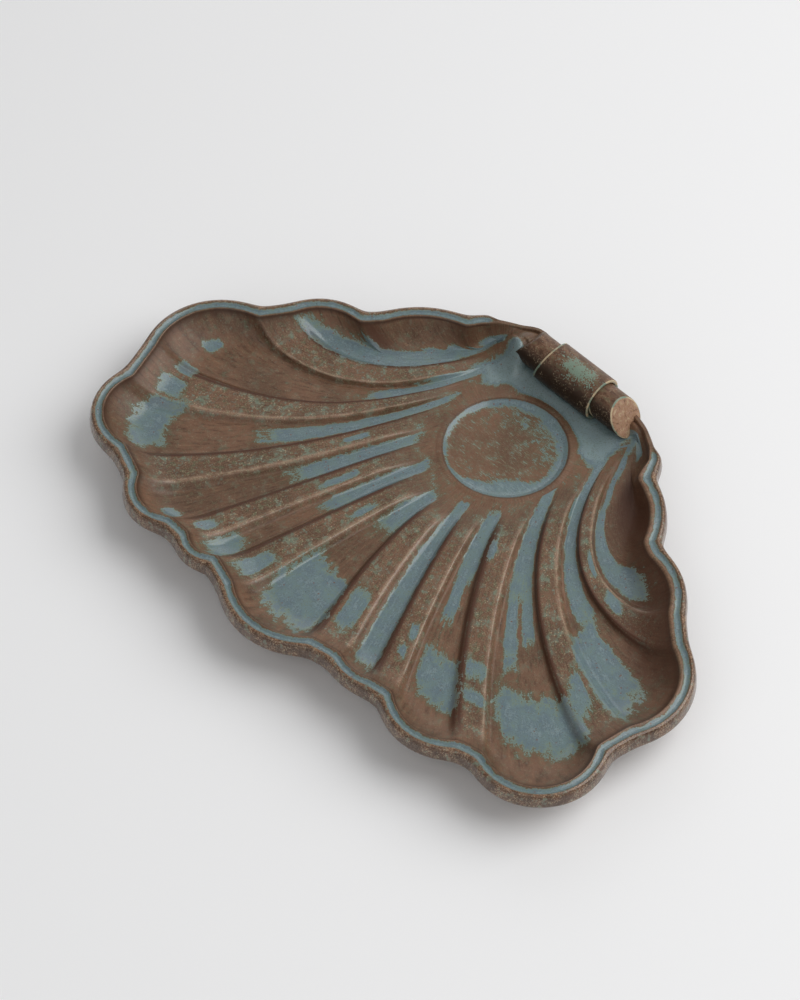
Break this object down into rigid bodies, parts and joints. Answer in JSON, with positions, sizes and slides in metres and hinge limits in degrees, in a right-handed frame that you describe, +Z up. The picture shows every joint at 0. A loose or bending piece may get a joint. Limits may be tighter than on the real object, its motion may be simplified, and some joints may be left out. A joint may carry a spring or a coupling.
{
  "type": "shell dish",
  "caption": "Scallop-shell serving dish with fluted channels, a round well, a grooved scalloped rim and a scroll along the hinge, standing on a low foot ring.",
  "frame": {"origin": "on the table under the middle of the dish", "axes": "+X across the shell, +Y from the front lobes to the hinge, +Z up"},
  "size_m": [0.3618, 0.2434, 0.0387],
  "materials": {
    "shell_glaze": "satin brown glaze with pooled grey-blue in the channels",
    "scroll_glaze": "satin brown glaze with pale blue along its edges",
    "foot_clay": "bare fired stoneware, matt"
  },
  "bodies": {
    "root": {"shell_dish": "shell_glaze", "scroll_core": "scroll_glaze", "scroll_sleeve": "scroll_glaze", "foot_ring": "foot_clay"}
  },
  "joints": []
}
